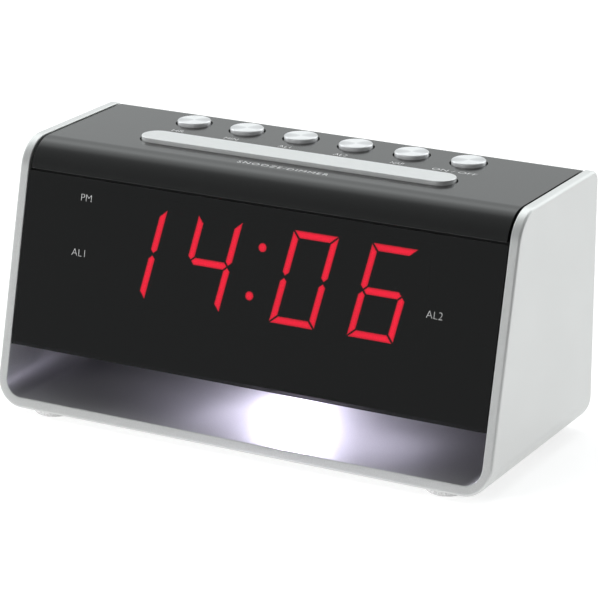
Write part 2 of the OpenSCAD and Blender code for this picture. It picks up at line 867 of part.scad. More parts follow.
u_frame();
inner_case();
top_cover();
rear_cover();
display_window();
foot(-feet.x, -feet.y);  // foot_front_left
foot(feet.x, -feet.y);  // foot_front_right
foot(-feet.x, feet.y);  // foot_rear_left
foot(feet.x, feet.y);  // foot_rear_right
key(0);  // hour_button
key(1);  // minute_button
key(2);  // alarm_1_button
key(3);  // alarm_2_button
key(4);  // sleep_button
key(5);  // power_button
snooze_bar();
key_plunger(0);  // hour_plunger
key_plunger(1);  // minute_plunger
key_plunger(2);  // alarm_1_plunger
key_plunger(3);  // alarm_2_plunger
key_plunger(4);  // sleep_plunger
key_plunger(5);  // power_plunger
snooze_plungers();
switch_bodies();
key_board();
display_block();
display_board();
lit_segments();
unlit_segments();
night_light_lens();
night_light_led();
night_light_board();
main_board();
tuner_can();
clock_chip();
capacitors();
regulator();
heat_sink();
board_sockets();
dc_inlet();
aerial_grommet();
speaker_basket();
speaker_magnet();
speaker_yoke();
speaker_cone();
speaker_surround();
speaker_gasket();
battery_door();
backup_cells();
battery_springs();
battery_plates();
display_ribbon();
key_ribbon();
speaker_wires();
frame_screws();
rear_screws();
board_screws();
speaker_screws();
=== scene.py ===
import json
import math

import bmesh
import bpy
from mathutils import Matrix, Vector
from mathutils.geometry import tessellate_polygon


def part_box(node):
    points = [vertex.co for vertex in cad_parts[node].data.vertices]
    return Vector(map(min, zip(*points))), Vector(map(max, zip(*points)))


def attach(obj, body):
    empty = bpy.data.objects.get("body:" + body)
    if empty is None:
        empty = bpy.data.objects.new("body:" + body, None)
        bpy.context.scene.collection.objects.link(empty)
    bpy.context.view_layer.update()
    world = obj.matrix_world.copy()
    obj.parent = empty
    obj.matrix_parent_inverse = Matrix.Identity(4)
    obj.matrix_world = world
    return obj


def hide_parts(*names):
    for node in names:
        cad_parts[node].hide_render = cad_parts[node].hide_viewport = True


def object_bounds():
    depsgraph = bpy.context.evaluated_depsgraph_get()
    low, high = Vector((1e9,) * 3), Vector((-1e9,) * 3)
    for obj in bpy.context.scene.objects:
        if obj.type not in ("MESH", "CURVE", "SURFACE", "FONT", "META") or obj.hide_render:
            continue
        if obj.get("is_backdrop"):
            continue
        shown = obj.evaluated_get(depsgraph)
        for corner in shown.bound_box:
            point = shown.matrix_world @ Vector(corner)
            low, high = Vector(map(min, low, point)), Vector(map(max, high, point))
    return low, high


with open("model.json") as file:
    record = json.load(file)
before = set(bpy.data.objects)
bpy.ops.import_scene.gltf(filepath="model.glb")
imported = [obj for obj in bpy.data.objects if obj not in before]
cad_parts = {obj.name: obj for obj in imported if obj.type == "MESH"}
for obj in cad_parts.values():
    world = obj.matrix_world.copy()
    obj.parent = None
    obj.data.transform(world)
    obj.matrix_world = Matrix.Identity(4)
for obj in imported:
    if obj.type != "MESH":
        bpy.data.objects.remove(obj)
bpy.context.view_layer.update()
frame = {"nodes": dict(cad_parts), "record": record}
MM = 0.001

# ---- Sizes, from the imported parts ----
frame_low, frame_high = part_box("u_frame")
foot_h = frame_low.z
top_z = frame_high.z
front_y = frame_low.y
back_y = frame_high.y
half_w = frame_high.x
lean = math.radians(13.6)
wall = 3.6 * MM
corner_r = 10 * MM
brow_r = 12 * MM
rear_r = 4 * MM
floor_z = foot_h + wall
_, cover_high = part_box("top_cover")
cover_sink = top_z - cover_high.z
cover_t = 2.4 * MM
fill_x = cover_high.x
window_low, window_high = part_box("display_window")
rear_low, rear_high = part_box("rear_cover")

KEYS = ["hour", "minute", "alarm_1", "alarm_2", "sleep", "power"]
PAST = 1 * MM  # how far a cutter runs past the face that it cuts


def face_y(z):
    """Y of the frame's leaning front edge at height z."""
    return front_y + (z - foot_h) * math.tan(lean)


def from_face(x, up, out):
    """A point given across the front face, up it from the frame's underside, and out of it."""
    return Vector((
        x,
        front_y + up * math.sin(lean) - out * math.cos(lean),
        foot_h + up * math.cos(lean) + out * math.sin(lean),
    ))


def on_face(up=0.0, out=0.0):
    """The frame of the leaning front face: X across, Y up the face, Z out of it."""
    return Matrix.Translation(from_face(0, up, out)) @ Matrix.Rotation(math.pi / 2 - lean, 4, "X")


def round_corner(before, at, after, r, steps):
    """Points of an arc of radius r that replaces a corner."""
    u, v = (before - at).normalized(), (after - at).normalized()
    half = u.angle(v) / 2
    centre = at + (u + v).normalized() * r / math.sin(half)
    a, b = at + u * r / math.tan(half) - centre, at + v * r / math.tan(half) - centre
    sweep = a.angle(b)
    arms = [(math.sin((1 - i / steps) * sweep), math.sin(i / steps * sweep)) for i in range(steps + 1)]
    return [centre + (a * near + b * far) / math.sin(sweep) for near, far in arms]


def side_outline(inset, steps=14):
    """The side view of the body as (y, z) points, moved inwards by inset."""
    low, high = foot_h + inset, top_z - inset
    lead = inset / math.cos(lean)
    corners = [
        (Vector((face_y(low) + lead, low)), 0),
        (Vector((back_y - inset, low)), rear_r - inset),
        (Vector((back_y - inset, high)), rear_r - inset),
        (Vector((face_y(high) + lead, high)), brow_r - inset),
    ]
    points = []
    for i, (at, r) in enumerate(corners):
        if r <= 0:
            points.append(at)
            continue
        before, after = corners[i - 1][0], corners[(i + 1) % 4][0]
        points += round_corner(before, at, after, r, steps)
    return points


# ---- Mesh helpers ----
def add_object(name, data):
    """Makes an object of the data and puts it in the scene."""
    obj = bpy.data.objects.new(name, data)
    bpy.context.scene.collection.objects.link(obj)
    return obj


def finish_mesh(name, bm, smooth=35):
    """Turns a bmesh into an object whose edges flatter than `smooth` degrees shade smoothly."""
    bmesh.ops.remove_doubles(bm, verts=bm.verts, dist=1e-6)
    bmesh.ops.recalc_face_normals(bm, faces=bm.faces)
    mesh = bpy.data.meshes.new(name)
    bm.to_mesh(mesh)
    bm.free()
    return soften(add_object(name, mesh), smooth)


def settle(obj):
    """Applies the object's modifiers to its mesh."""
    bpy.context.view_layer.update()
    made = bpy.data.meshes.new_from_object(obj.evaluated_get(bpy.context.evaluated_depsgraph_get()))
    obj.modifiers.clear()
    old = obj.data
    obj.data = made
    bpy.data.meshes.remove(old)
    return obj


def soften(obj, smooth=35):
    """Smooth shading that leaves edges sharper than `smooth` degrees crisp and flat faces flat."""
    mesh = obj.data
    for p in mesh.polygons:
        p.use_smooth = True
    mesh.set_sharp_from_angle(angle=math.radians(smooth))
    obj.modifiers.new("flat", "WEIGHTED_NORMAL").keep_sharp = True
    return settle(obj)


def bevel(obj, width, segments=3, angle=40, smooth=35):
    """Rounds the edges sharper than `angle`."""
    m = obj.modifiers.new("round", "BEVEL")
    m.width, m.segments = width, segments
    m.limit_method, m.angle_limit = "ANGLE", math.radians(angle)
    m.use_clamp_overlap = True
    return soften(settle(obj), smooth)


def cut(obj, *cutters, smooth=35):
    """Takes the cutters' shapes out of obj."""
    for c in cutters:
        m = obj.modifiers.new("cut", "BOOLEAN")
        m.operation, m.solver, m.object = "DIFFERENCE", "EXACT", c
    soften(settle(obj), smooth)
    for c in cutters:
        mesh = c.data
        bpy.data.objects.remove(c)
        bpy.data.meshes.remove(mesh)
    return obj


def join(name, *parts):
    """Several meshes as one object."""
    bm = bmesh.new()
    for p in parts:
        at = len(bm.verts)
        bm.from_mesh(p.data)
        bm.verts.ensure_lookup_table()
        bmesh.ops.transform(bm, matrix=p.matrix_world, verts=bm.verts[at:])
    mesh = bpy.data.meshes.new(name)
    bm.to_mesh(mesh)
    bm.free()
    obj = add_object(name, mesh)
    for p in parts:
        old = p.data
        bpy.data.objects.remove(p)
        bpy.data.meshes.remove(old)
    return soften(obj)


def bridge(bm, a, b):
    """A band of faces between two rings of the same length."""
    for i in range(len(a)):
        j = (i + 1) % len(a)
        bm.faces.new((a[i], a[j], b[j], b[i]))


def loft(name, rings):
    """Skins a list of rings that hold the same number of points, and caps both ends."""
    bm = bmesh.new()
    rows = [[bm.verts.new(p) for p in ring] for ring in rings]
    for a, b in zip(rows, rows[1:]):
        bridge(bm, a, b)
    bm.faces.new(rows[0][::-1])
    bm.faces.new(rows[-1])
    return finish_mesh(name, bm)


def lathe(name, profile, centre, axis=Vector((0, 0, 1)), sides=96, smooth=35):
    """Turns (radius, height) points round an axis through centre. A radius of 0 closes the end."""
    spin = axis.to_track_quat("Z", "Y").to_matrix()
    bm = bmesh.new()
    rows = []
    for r, h in profile:
        turns = [2 * math.pi * i / sides for i in range(sides if r else 1)]
        ring = [Vector((r * math.cos(a), r * math.sin(a), h)) for a in turns]
        rows.append([bm.verts.new(centre + spin @ p) for p in ring])
    for a, b in zip(rows, rows[1:]):
        if len(a) == len(b) == 1:
            continue
        if len(a) == len(b):
            bridge(bm, a, b)
            continue
        for i in range(sides):
            j = (i + 1) % sides
            bm.faces.new((a[0], b[j], b[i]) if len(a) == 1 else (a[i], a[j], b[0]))
    return finish_mesh(name, bm, smooth)


def block(name, low, high, place=Matrix.Identity(4)):
    """A box between two corners, for cutting and for bevelled pieces."""
    bm = bmesh.new()
    bmesh.ops.create_cube(bm, size=1)
    low, high = Vector(low), Vector(high)
    bmesh.ops.scale(bm, vec=high - low, verts=bm.verts)
    bmesh.ops.translate(bm, vec=(low + high) / 2, verts=bm.verts)
    bmesh.ops.transform(bm, matrix=place, verts=bm.verts)
    return finish_mesh(name, bm)


def inset(points, distance):
    """A closed anticlockwise outline of 2-D points, moved inwards."""
    moved = []
    for i, at in enumerate(points):
        a = (at - points[i - 1]).normalized()
        b = (points[(i + 1) % len(points)] - at).normalized()
        normal = Vector((-a.y - b.y, a.x + b.x)).normalized()
        moved.append(at + normal * distance / max(normal.dot(Vector((-b.y, b.x))), 0.3))
    return moved


def plate(name, outline, holes, thick, edge, hole_edge, place):
    """A flat plate with holes, its front rims rounded. Outlines are anticlockwise 2-D points."""
    bm = bmesh.new()
    fronts, backs = [], []
    for points, r, sign in [(outline, edge, 1)] + [(h, hole_edge, -1) for h in holes]:
        line = [(0, 0)] + [(i, thick - d) for i, d in quarter(r, 3)]
        rows = []
        for i, z in line:
            rows.append([bm.verts.new(place @ Vector((p.x, p.y, z))) for p in inset(points, sign * i)])
        for a, b in zip(rows, rows[1:]):
            bridge(bm, a, b) if sign > 0 else bridge(bm, b, a)
        backs.append(rows[0])
        fronts.append(rows[-1])
    turned = place.inverted()
    for rings in (fronts, backs):
        flat = [v for ring in rings for v in ring]
        lines = [[(turned @ v.co) * Vector((1, 1, 0)) for v in ring] for ring in rings]
        for tri in tessellate_polygon(lines):
            bm.faces.new([flat[k] for k in tri])
    return finish_mesh(name, bm)


def disc(x, y, r, sides=28):
    """A round outline of 2-D points."""
    turns = [2 * math.pi * i / sides for i in range(sides)]
    return [Vector((x + r * math.cos(a), y + r * math.sin(a))) for a in turns]


def soft_box(x0, y0, x1, y1, radii, steps=6):
    """A rectangle with its own radius at each corner, from the lower left anticlockwise."""
    corners = [Vector((x0, y0)), Vector((x1, y0)), Vector((x1, y1)), Vector((x0, y1))]
    points = []
    for i, (at, r) in enumerate(zip(corners, radii)):
        points += round_corner(corners[i - 1], at, corners[(i + 1) % 4], r, steps)
    return points


def quarter(r, steps=4):
    """(inset, depth) pairs of a rounded rim, from the side wall to the flat face."""
    turns = [math.pi / 2 * i / steps for i in range(steps + 1)]
    return [(r * (1 - math.cos(a)), r * (1 - math.sin(a))) for a in turns]


def stadium(length, width, z, centre, steps=20):
    """A ring of points round a slot shape that lies along X."""
    r = width / 2
    reach = length / 2 - r
    ring = []
    for side, turn in ((1, -math.pi / 2), (-1, math.pi / 2)):
        for i in range(steps + 1):
            a = turn + math.pi * i / steps
            x = centre.x + side * reach + r * math.cos(a)
            ring.append(Vector((x, centre.y + r * math.sin(a), z)))
    return ring


# ---- Materials ----
class Build:
    """A procedural material, built up step by step round one Principled shader."""

    def __init__(self, name, **values):
        self.mat = bpy.data.materials.new(name)
        self.mat.use_nodes = True
        self.tree = self.mat.node_tree
        self.shader = self.tree.nodes["Principled BSDF"]
        for key, value in values.items():
            self.shader.inputs[key.replace("_", " ")].default_value = value
        self.where = self.node("ShaderNodeTexCoord").outputs["Object"]

    def node(self, kind, **settings):
        made = self.tree.nodes.new(kind)
        for key, value in settings.items():
            setattr(made, key, value)
        return made

    def link(self, out, into):
        self.tree.links.new(out, into)

    def noise(self, size, detail=2.0, stretch=(1, 1, 1)):
        """Noise whose grains are about `size` metres across."""
        move = self.node("ShaderNodeMapping")
        move.inputs["Scale"].default_value = Vector(stretch) / size
        self.link(self.where, move.inputs["Vector"])
        made = self.node("ShaderNodeTexNoise")
        made.inputs["Scale"].default_value = 1.0
        made.inputs["Detail"].default_value = detail
        self.link(move.outputs["Vector"], made.inputs["Vector"])
        return made.outputs["Fac"]

    def spread(self, fac, low, high, into, edges=(0.3, 0.7)):
        """Maps a factor to a range of values, for the shader's socket that `into` names, if any."""
        made = self.node("ShaderNodeMapRange")
        for key, value in zip(("From Min", "From Max", "To Min", "To Max"), (*edges, low, high)):
            made.inputs[key].default_value = value
        self.link(fac, made.inputs["Value"])
        if into:
            self.link(made.outputs["Result"], self.shader.inputs[into])
        return made.outputs["Result"]

    def blend(self, fac, first, second, edges=(0.3, 0.7)):
        """Colours the surface between two tones."""
        ramp = self.node("ShaderNodeValToRGB")
        ramp.color_ramp.elements[0].position, ramp.color_ramp.elements[1].position = edges
        ramp.color_ramp.elements[0].color = (*first, 1)
        ramp.color_ramp.elements[1].color = (*second, 1)
        self.link(fac, ramp.inputs["Fac"])
        self.link(ramp.outputs["Color"], self.shader.inputs["Base Color"])
        return ramp.outputs["Color"]

    def by_slope(self, upright, level, into):
        """One value on upright faces and another on level ones."""
        split = self.node("ShaderNodeSeparateXYZ")
        self.link(self.node("ShaderNodeTexCoord").outputs["Normal"], split.inputs["Vector"])
        self.spread(split.outputs["Z"], upright, level, into, (0.2, 0.75))

    def bump(self, height, distance):
        """Raises the surface by up to `distance` metres."""
        made = self.node("ShaderNodeBump")
        made.inputs["Distance"].default_value = distance
        made.inputs["Strength"].default_value = 1.0
        self.link(height, made.inputs["Height"])
        self.link(made.outputs["Normal"], self.shader.inputs["Normal"])


def toned(colour, factor):
    """The colour made darker or lighter."""
    return tuple(min(c * factor, 1) for c in colour)


def metallic_paint():
    """Silver paint with fine metal flakes."""
    m = Build("metallic_paint", Metallic=0.9, Roughness=0.46)
    m.blend(m.noise(0.25 * MM, 3), (0.58, 0.585, 0.58), (0.68, 0.685, 0.68))
    m.spread(m.noise(20 * MM), 0.44, 0.48, "Roughness")
    m.bump(m.noise(0.18 * MM, 2), 0.004 * MM)
    return m.mat


def satin_plastic(name, colour, rough):
    """Smooth moulded plastic."""
    m = Build(name, Roughness=rough)
    m.blend(m.noise(6 * MM, 4), toned(colour, 0.94), toned(colour, 1.06))
    m.spread(m.noise(15 * MM, 3), rough * 0.96, rough * 1.04, "Roughness")
    m.bump(m.noise(0.3 * MM, 2), 0.0015 * MM)
    return m.mat


def sparked_plastic(name, colour, rough=0.5):
    """Moulded plastic with the fine pitted texture of a spark-eroded mould."""
    m = Build(name, Roughness=rough)
    m.blend(m.noise(8 * MM, 4), toned(colour, 0.9), toned(colour, 1.1))
    m.spread(m.noise(0.5 * MM, 2), rough * 0.85, rough * 1.15, "Roughness")
    m.bump(m.noise(0.45 * MM, 3), 0.03 * MM)
    return m.mat


def worked_metal(name, colour, rough, grain=0.4, stretch=(1, 1, 1)):
    """Bare metal marked by rolling or drawing, with its grain size in millimetres."""
    m = Build(name, Metallic=1.0, Roughness=rough)
    fac = m.noise(grain * MM, 3, stretch)
    m.blend(fac, toned(colour, 0.93), toned(colour, 1.05))
    m.spread(m.noise(grain * MM, 3, stretch), rough * 0.85, rough * 1.15, "Roughness")
    m.bump(fac, 0.003 * MM)
    return m.mat


def spun_metal_painted_sheen():
    """Aluminium turned on a lathe: fine rings round each key's centre, and two paler sectors, towards
    the front right and the rear left, that are a painted highlight.
    """
    m = Build("spun_metal_painted_sheen", Metallic=1.0, Roughness=0.38, Anisotropic=0.9, Anisotropic_Rotation=0.25)
    rings = m.node("ShaderNodeTexWave", wave_type="RINGS", rings_direction="Z", wave_profile="SIN")
    rings.inputs["Scale"].default_value = 1 / (0.9 * MM)
    rings.inputs["Distortion"].default_value = 0.6
    rings.inputs["Detail"].default_value = 2
    m.link(m.where, rings.inputs["Vector"])
    flat = m.node("ShaderNodeVectorMath", operation="MULTIPLY")
    flat.inputs[1].default_value = (1, 1, 0)
    m.link(m.where, flat.inputs[0])
    outward = m.node("ShaderNodeVectorMath", operation="NORMALIZE")
    m.link(flat.outputs["Vector"], outward.inputs[0])
    # Painted highlight: the sectors of each key top that face front right and rear left get a paler base
    # colour, as if the spun face caught the light there
    along = m.node("ShaderNodeVectorMath", operation="DOT_PRODUCT")
    along.inputs[1].default_value = Vector((0.48, -0.88, 0)).normalized()
    m.link(outward.outputs["Vector"], along.inputs[0])
    painted_sheen_axis = m.node("ShaderNodeMath", operation="ABSOLUTE")
    m.link(along.outputs["Value"], painted_sheen_axis.inputs[0])
    sweep = m.node("ShaderNodeMapRange", interpolation_type="SMOOTHSTEP")
    sweep.inputs["From Min"].default_value = 0.35
    sweep.inputs["To Max"].default_value = 0.75
    m.link(painted_sheen_axis.outputs["Value"], sweep.inputs["Value"])
    # The base colour mixes the rings' grain with the painted highlight sectors
    turned = m.node("ShaderNodeMath", operation="MULTIPLY_ADD")
    turned.inputs[1].default_value = 0.25
    m.link(rings.outputs["Fac"], turned.inputs[0])
    m.link(sweep.outputs["Result"], turned.inputs[2])
    m.blend(turned.outputs["Value"], (0.59, 0.592, 0.605), (0.82, 0.823, 0.83), (0.0, 1.0))
    tangent = m.node("ShaderNodeTangent", direction_type="RADIAL", axis="Z")
    m.link(tangent.outputs["Tangent"], m.shader.inputs["Tangent"])
    m.by_slope(0.7, 1.0, "Metallic")
    m.bump(rings.outputs["Fac"], 0.002 * MM)
    return m.mat


def brushed_bar():
    """Aluminium brushed along X, with plain rolled sides."""
    m = Build("brushed_bar", Metallic=1.0, Roughness=0.34)
    fac = m.noise(0.25 * MM, 3, (0.12, 1, 1))
    m.blend(fac, (0.63, 0.635, 0.635), (0.7, 0.705, 0.705))
    m.spread(fac, 0.3, 0.38, "Roughness")
    m.by_slope(0.72, 1.0, "Metallic")
    m.bump(fac, 0.003 * MM)
    return m.mat


def smoked_window():
    """Dark tinted polycarbonate."""
    m = Build("smoked_window", Roughness=0.03, IOR=1.585, Transmission_Weight=1.0)
    m.blend(m.noise(30 * MM, 2), (0.05, 0.047, 0.05), (0.056, 0.052, 0.056))
    m.spread(m.noise(25 * MM, 3), 0.02, 0.04, "Roughness")
    return m.mat


def clear_lens():
    """Clear acrylic with a frosted face."""
    m = Build("clear_lens", Roughness=0.25, IOR=1.49, Transmission_Weight=0.9)
    m.blend(m.noise(1.0 * MM, 2), (0.93, 0.94, 0.97), (0.98, 0.98, 1.0))
    m.spread(m.noise(0.4 * MM, 2), 0.2, 0.35, "Roughness")
    m.bump(m.noise(0.5 * MM, 2), 0.01 * MM)
    return m.mat


def lit(name, rim, core, strength, tone=None):
    """A glowing diffuser: darker at its rim, a little uneven over its face."""
    m = Build(name, Roughness=0.4, Emission_Strength=strength)
    if tone:
        fac = m.node("ShaderNodeAttribute", attribute_name=tone).outputs["Fac"]
        colour = m.blend(fac, rim, core, (0.5, 1.0))
    else:
        colour = m.blend(m.noise(3 * MM, 2), rim, core)
    m.link(colour, m.shader.inputs["Emission Color"])
    return m.mat


def circuit_board():
    """Green solder resist over paler tracks."""
    m = Build("circuit_board", Roughness=0.35)
    board = m.node("ShaderNodeTexVoronoi", distance="MANHATTAN", feature="F1")
    board.inputs["Scale"].default_value = 1 / (3.2 * MM)
    m.link(m.where, board.inputs["Vector"])
    tracks = m.spread(board.outputs["Distance"], 0, 1, None, (0.44, 0.5))
    m.blend(tracks, (0.025, 0.14, 0.06), (0.05, 0.22, 0.09), (0.4, 0.6))
    m.bump(tracks, 0.03 * MM)
    return m.mat


def fibre(name, colour, grain):
    """A dull mottled surface, such as rubber, paper or felt, with its grain size in millimetres."""
    m = Build(name, Roughness=0.9)
    m.blend(m.noise(grain * MM, 5), toned(colour, 0.7), toned(colour, 1.3))
    m.bump(m.noise(grain * MM, 5), 0.08 * MM)
    return m.mat


def printed(name, colour):
    """Screen-printed ink."""
    m = Build(name, Roughness=0.6)
    m.blend(m.noise(0.3 * MM, 2), toned(colour, 0.92), toned(colour, 1.05))
    return m.mat


LOOKS = {
    "silver_frame": metallic_paint(),
    "black_case": sparked_plastic("case_plastic", (0.006, 0.006, 0.006)),
    "dark_cover": satin_plastic("cover_plastic", (0.0045, 0.0046, 0.0046), 0.17),
    "black_cover": sparked_plastic("rear_plastic", (0.022, 0.022, 0.023)),
    "tinted_window": smoked_window(),
    "foot_rubber": fibre("foot_rubber", (0.5, 0.5, 0.5), 0.5),
    "key_metal": spun_metal_painted_sheen(),
    "bar_metal": brushed_bar(),
    "plunger_plastic": satin_plastic("plunger_plastic", (0.1, 0.1, 0.1), 0.5),
    "switch_steel": worked_metal("switch_steel", (0.6, 0.6, 0.61), 0.35),
    "circuit_board": circuit_board(),
    "display_black": sparked_plastic("display_black", (0.008, 0.008, 0.008), 0.6),
    "segment_red": lit("segment_red", (0.42, 0.005, 0.016), (0.86, 0.009, 0.038), 20.0, "glow"),
    "segment_dark": satin_plastic("segment_dark", (0.012, 0.006, 0.007), 0.5),
    "lens_clear": clear_lens(),
    "led_white": lit("led_white", (0.8, 0.76, 1.0), (0.95, 0.93, 1.0), 12.0),
    "tuner_tin": worked_metal("tuner_tin", (0.7, 0.7, 0.68), 0.3, 0.8),
    "chip_black": satin_plastic("chip_black", (0.02, 0.02, 0.02), 0.55),
    "capacitor_sleeve": satin_plastic("capacitor_sleeve", (0.012, 0.02, 0.05), 0.3),
    "heat_sink_aluminium": worked_metal(
        "heat_sink_aluminium", (0.63, 0.63, 0.64), 0.4, 0.3, (1, 1, 0.05)
    ),
    "socket_nylon": satin_plastic("socket_nylon", (0.75, 0.72, 0.62), 0.5),
    "inlet_plastic": satin_plastic("inlet_plastic", (0.012, 0.012, 0.012), 0.3),
    "grommet_rubber": sparked_plastic("grommet_rubber", (0.02, 0.02, 0.02), 0.7),
    "speaker_steel": worked_metal("speaker_steel", (0.5, 0.5, 0.51), 0.38, 0.8),
    "magnet_ferrite": fibre("magnet_ferrite", (0.05, 0.05, 0.05), 0.4),
    "cone_paper": fibre("cone_paper", (0.03, 0.027, 0.025), 0.8),
    "surround_cloth": fibre("surround_cloth", (0.015, 0.014, 0.014), 0.5),
    "gasket_fibre": fibre("gasket_fibre", (0.03, 0.026, 0.022), 0.6),
    "cell_sleeve": satin_plastic("cell_sleeve", (0.09, 0.11, 0.13), 0.28),
    "contact_steel": worked_metal("contact_steel", (0.78, 0.78, 0.79), 0.2),
    "ribbon_grey": satin_plastic("ribbon_grey", (0.35, 0.33, 0.29), 0.5),
    "wire_red": satin_plastic("wire_red", (0.25, 0.01, 0.01), 0.45),
    "screw_steel": worked_metal("screw_steel", (0.42, 0.42, 0.43), 0.32, 0.3),
}
LABEL_GREY = printed("label_grey", (0.5, 0.5, 0.5))
LABEL_WHITE = printed("label_white", (0.75, 0.75, 0.75))

for entry in frame["record"]["subparts"]:
    node = frame["nodes"][entry["node"]]
    node.data.materials.clear()
    node.data.materials.append(LOOKS[entry["material_slot"]])
    for p in node.data.polygons:
        p.material_index = 0


def place(obj, body, slot, *nodes, look=None):
    """Gives a piece its material, the body it moves with and the CAD nodes it stands for."""
    obj.data.materials.clear()
    obj.data.materials.append(look or LOOKS[slot])
    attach(obj, body)
    if nodes:
        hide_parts(*nodes)
    return obj


# ---- Silver frame ----
def frame_sheet():
    """The bent sheet: two flat side walls, two bends and a floor, before its holes are cut."""
    outline = side_outline(0)
    bm = bmesh.new()
    bend_steps = 14

    def wall_ring(x, low):
        """A side wall's edge, from the bend in front, over the top, to the bend behind."""
        ring = [p for p in outline if p.y > low + 1e-7]
        ring = [Vector((face_y(low), low))] + ring[::-1] + [Vector((back_y, low))]
        return [bm.verts.new((x, p.x, p.y)) for p in ring]

    # The outer and the inner face of the sheet: two walls, and one chain of edges round the bends
    sheets = []
    for depth in (0.0, wall):
        r = corner_r - depth
        low = foot_h + corner_r
        walls = [wall_ring(side * (half_w - depth), low) for side in (-1, 1)]
        rows = []
        for side in (-1, 1):
            arc = []
            for i in range(bend_steps + 1):
                a = math.pi / 2 * i / bend_steps
                x = side * (half_w - corner_r + r * math.cos(a))
                z = foot_h + corner_r - r * math.sin(a)
                if i == 0:
                    w = walls[0 if side < 0 else 1]
                    arc.append((w[0], w[-1]))
                else:
                    arc.append((bm.verts.new((x, face_y(z), z)), bm.verts.new((x, back_y, z))))
            rows.append(arc)
        for w in walls:
            bm.faces.new(w)
        chain = rows[0] + rows[1][::-1]
        for (a, b), (c, d) in zip(chain, chain[1:]):
            bm.faces.new((a, b, d, c))
        sheets.append((walls, chain))
    # The rim between the two faces
    (outer_walls, outer_chain), (inner_walls, inner_chain) = sheets
    for outer, inner in zip(outer_walls, inner_walls):
        for i in range(len(outer) - 1):
            bm.faces.new((outer[i], outer[i + 1], inner[i + 1], inner[i]))
    for i in range(len(outer_chain) - 1):
        for end in (0, 1):
            bm.faces.new((
                outer_chain[i][end], outer_chain[i + 1][end],
                inner_chain[i + 1][end], inner_chain[i][end],
            ))
    return finish_mesh("frame_shell", bm)


def rim_bevel(obj, outer, inner):
    """Rounds the sheet's rim: `outer` on the outside edge, `inner` on the inside edge."""
    mesh = obj.data
    weights = mesh.attributes.new("bevel_weight_edge", "FLOAT", "EDGE")
    faces = [[] for _ in mesh.edges]
    index = {tuple(sorted(e.vertices)): e.index for e in mesh.edges}
    for p in mesh.polygons:
        for key in p.edge_keys:
            faces[index[tuple(sorted(key))]].append(p.normal)
    for e in mesh.edges:
        pair = faces[e.index]
        if len(pair) != 2 or pair[0].angle(pair[1]) < math.radians(50):
            continue
        a, b = (mesh.vertices[v].co for v in e.vertices)
        mid = (a + b) / 2
        outside = abs(mid.x) > half_w - 1e-5 or mid.z < foot_h + 1e-5
        if not outside and abs(mid.x) > half_w - corner_r and mid.z < foot_h + corner_r:
            bend = Vector((abs(mid.x) - half_w + corner_r, mid.z - foot_h - corner_r))
            outside = bend.length > corner_r - wall / 2
        weights.data[e.index].value = 1.0 if outside else inner / outer
    m = obj.modifiers.new("round", "BEVEL")
    m.width, m.segments, m.limit_method = outer, 4, "WEIGHT"
    m.use_clamp_overlap = False
    return soften(settle(obj), 40)


shell = rim_bevel(frame_sheet(), 1.0 * MM, 0.35 * MM)
door_low, door_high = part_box("battery_door")
DOOR_GAP = 0.3 * MM
cutters = [block(
    "door_hole",
    (door_low.x - DOOR_GAP, door_low.y - DOOR_GAP, foot_h - PAST),
    (door_high.x + DOOR_GAP, door_high.y + DOOR_GAP, floor_z + PAST),
)]
FEET = {}
for end in ("front", "rear"):
    for hand in ("left", "right"):
        foot_low, foot_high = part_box(f"foot_{end}_{hand}")
        FEET[f"foot_{end}_{hand}"] = (foot_low + foot_high) / 2
foot_r = (foot_high.x - foot_low.x) / 2
socket_r, SOCKET_DEEP = foot_r + 0.1 * MM, 0.8 * MM
profile = [(0, -PAST), (socket_r, -PAST), (socket_r, SOCKET_DEEP), (0, SOCKET_DEEP)]
for mid in FEET.values():
    cutters.append(lathe("foot_hole", profile, Vector((mid.x, mid.y, foot_h))))
SCREW_SPOTS = [(-83, 15), (0, 24), (36, 24), (83, 15)]
HEAD_R, BORE_R, HEAD_DEEP, CHAMFER = 3 * MM, 1.6 * MM, 1.6 * MM, 0.3 * MM
profile = [
    (0, -PAST), (HEAD_R + CHAMFER, -PAST), (HEAD_R + CHAMFER, 0), (HEAD_R, CHAMFER), (HEAD_R, HEAD_DEEP),
    (BORE_R, HEAD_DEEP), (BORE_R, wall + PAST), (0, wall + PAST),
]
for x, y in SCREW_SPOTS:
    cutters.append(lathe("screw_hole", profile, Vector((x * MM, y * MM, foot_h)), sides=48))
cut(shell, *cutters, smooth=40)
place(shell, "cabinet", "silver_frame", "u_frame")


# ---- Feet ----
def foot(name, mid):
    """A round rubber pad with a rounded lower edge and a shallow hollow underneath."""
    hollow, hollow_r, edge, high = 0.12 * MM, foot_r - 2.4 * MM, 0.9 * MM, foot_h + 0.75 * MM
    profile = [(0, hollow), (hollow_r, hollow), (hollow_r + 0.3 * MM, 0)]
    profile += [(foot_r - i, d) for i, d in reversed(quarter(edge, 6))]
    profile += [(foot_r, high), (0, high)]
    return lathe(name, profile, Vector((mid.x, mid.y, 0)))


for name, mid in FEET.items():
    place(foot(name.replace("foot_", "pad_"), mid), "cabinet", "foot_rubber", name)


# ---- Top cover ----
COVER_HALF = fill_x - 0.45 * MM
WINDOW_LOW, WINDOW_HIGH, WINDOW_SINK, WINDOW_T = 21.8 * MM, 82.7 * MM, 0.15 * MM, 2 * MM
SEAM_GAP = 0.7 * MM
seam_z = foot_h + (WINDOW_HIGH + SEAM_GAP) * math.cos(lean)
rear_lip_z = top_z - 8 * MM
cover_top = top_z - cover_sink
cover_under = cover_top - cover_t


